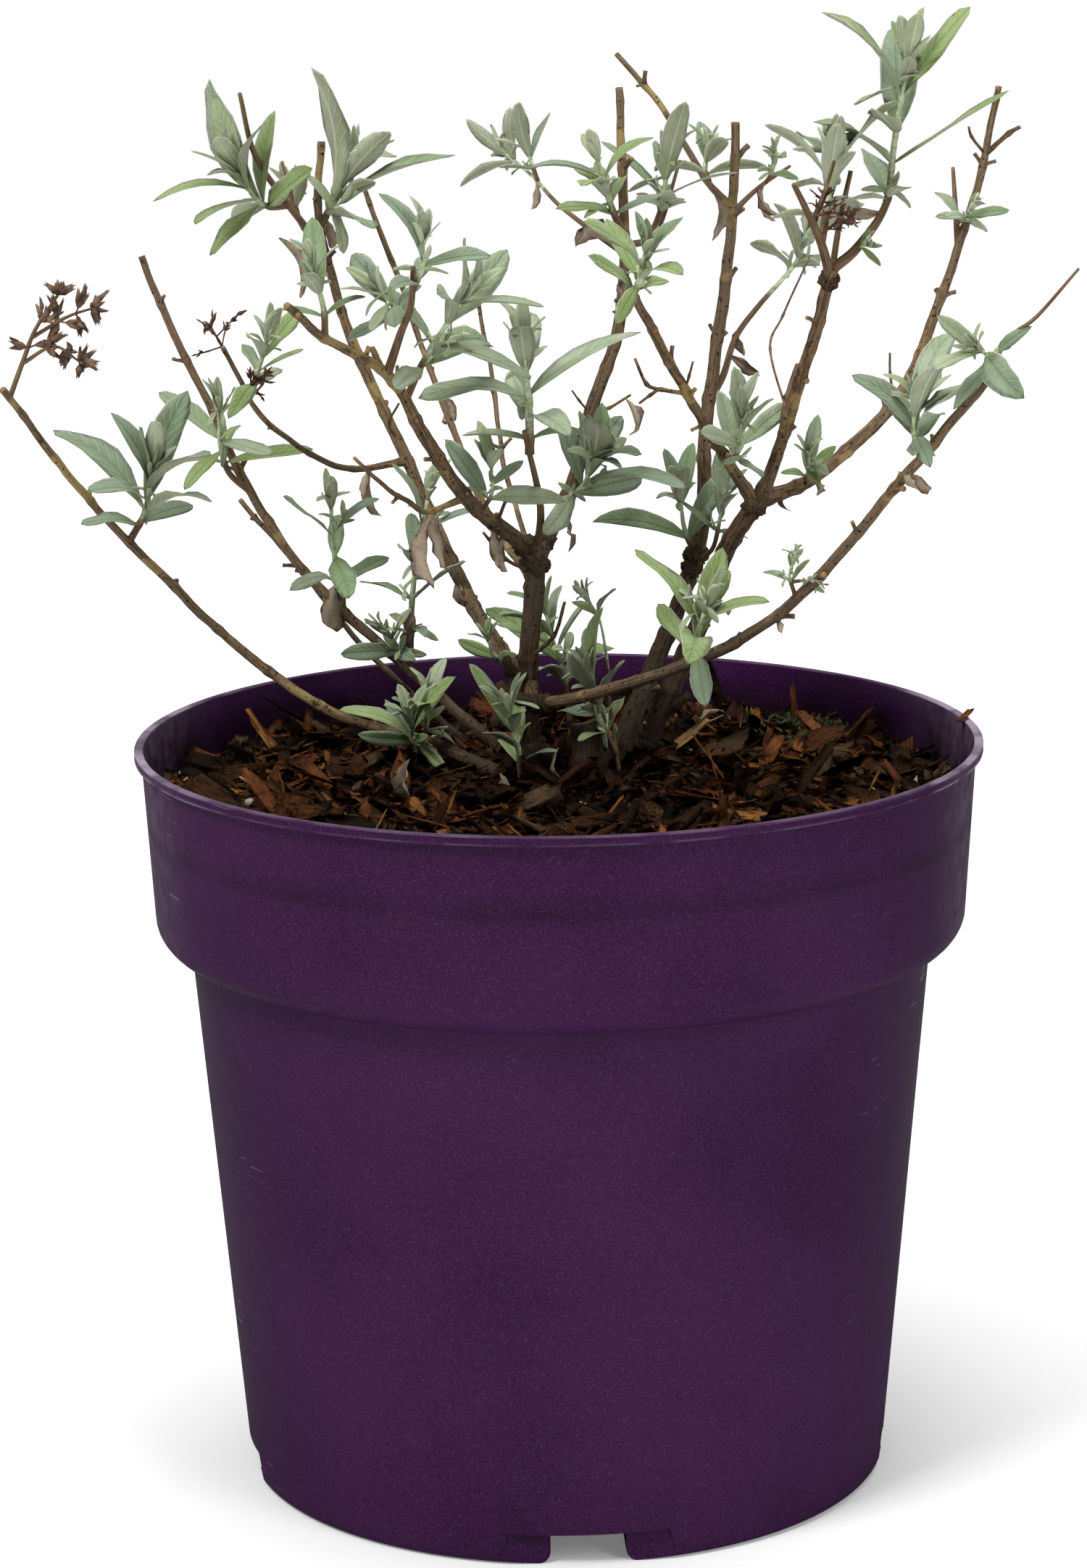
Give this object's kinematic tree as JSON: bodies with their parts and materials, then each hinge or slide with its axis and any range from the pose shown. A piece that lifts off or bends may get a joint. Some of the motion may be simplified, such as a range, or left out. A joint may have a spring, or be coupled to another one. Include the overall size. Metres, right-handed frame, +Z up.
{
  "type": "butterfly bush in a nursery pot",
  "caption": "Young butterfly bush with open woody stems and grey-green opposite leaves, in a round purple plastic nursery pot topped with bark mulch.",
  "frame": {"origin": "middle of the pot's flat underside, on the surface it stands on", "axes": "+Z up along the pot's axis, +X to the right and +Y to the back in the picture's view"},
  "size_m": [0.2791, 0.2339, 0.3992],
  "materials": {
    "pot_plastic": "satin moulded polypropylene, lightly scuffed",
    "bark_mulch": "rough damp bark chips",
    "old_bark": "matte, finely fissured",
    "young_bark": "matte, finely striped",
    "foliage": "soft matte, felted grey-green",
    "dried_seedhead": "dry matte brown"
  },
  "bodies": {
    "root": {"pot": "pot_plastic", "bark_mulch": "bark_mulch", "trunk": "old_bark", "stem_right_back": "old_bark", "stem_right": "old_bark", "cane_left_low": "young_bark", "cane_left": "young_bark", "cane_left_thin": "young_bark", "bough_left_back": "old_bark", "bough_right_low": "old_bark", "bough_left_front": "old_bark", "bough_centre": "old_bark", "cane_back_thin": "young_bark", "cane_back_short": "young_bark", "twig_left_thin": "young_bark", "twig_left_dead": "young_bark", "bough_top_middle": "young_bark", "bough_right_tall": "old_bark", "bough_right": "old_bark", "bough_right_inner": "old_bark", "old_stump": "old_bark", "foliage_left_low": "foliage", "seedhead_left": "dried_seedhead", "foliage_left_middle": "foliage", "foliage_left_inner": "foliage", "foliage_left_high": "foliage", "foliage_left_crown": "foliage", "foliage_left_stub": "foliage", "foliage_front_left_tip": "foliage", "foliage_front_left_twigs": "foliage", "foliage_front_left_low": "foliage", "foliage_centre_front": "foliage", "foliage_left_fork": "foliage", "foliage_left_tall": "foliage", "foliage_left_lower": "foliage", "foliage_back_top": "foliage", "foliage_centre_left": "foliage", "foliage_centre_right": "foliage", "foliage_inner_front": "foliage", "foliage_top_middle": "foliage", "foliage_top_fork": "foliage", "foliage_top_right": "foliage", "foliage_right_crown": "foliage", "foliage_right_twig": "foliage", "foliage_tall_right": "foliage", "foliage_inner_right": "foliage", "foliage_right_low": "foliage", "foliage_right_stem": "foliage", "foliage_centre_low": "foliage", "foliage_centre": "foliage", "foliage_right_front": "foliage", "foliage_right_tip": "foliage", "foliage_right_sprig": "foliage", "foliage_low_right": "foliage", "foliage_low_left": "foliage", "foliage_low_front": "foliage", "foliage_left_foot": "foliage", "foliage_low_centre": "foliage", "foliage_low_back": "foliage"}
  },
  "joints": []
}
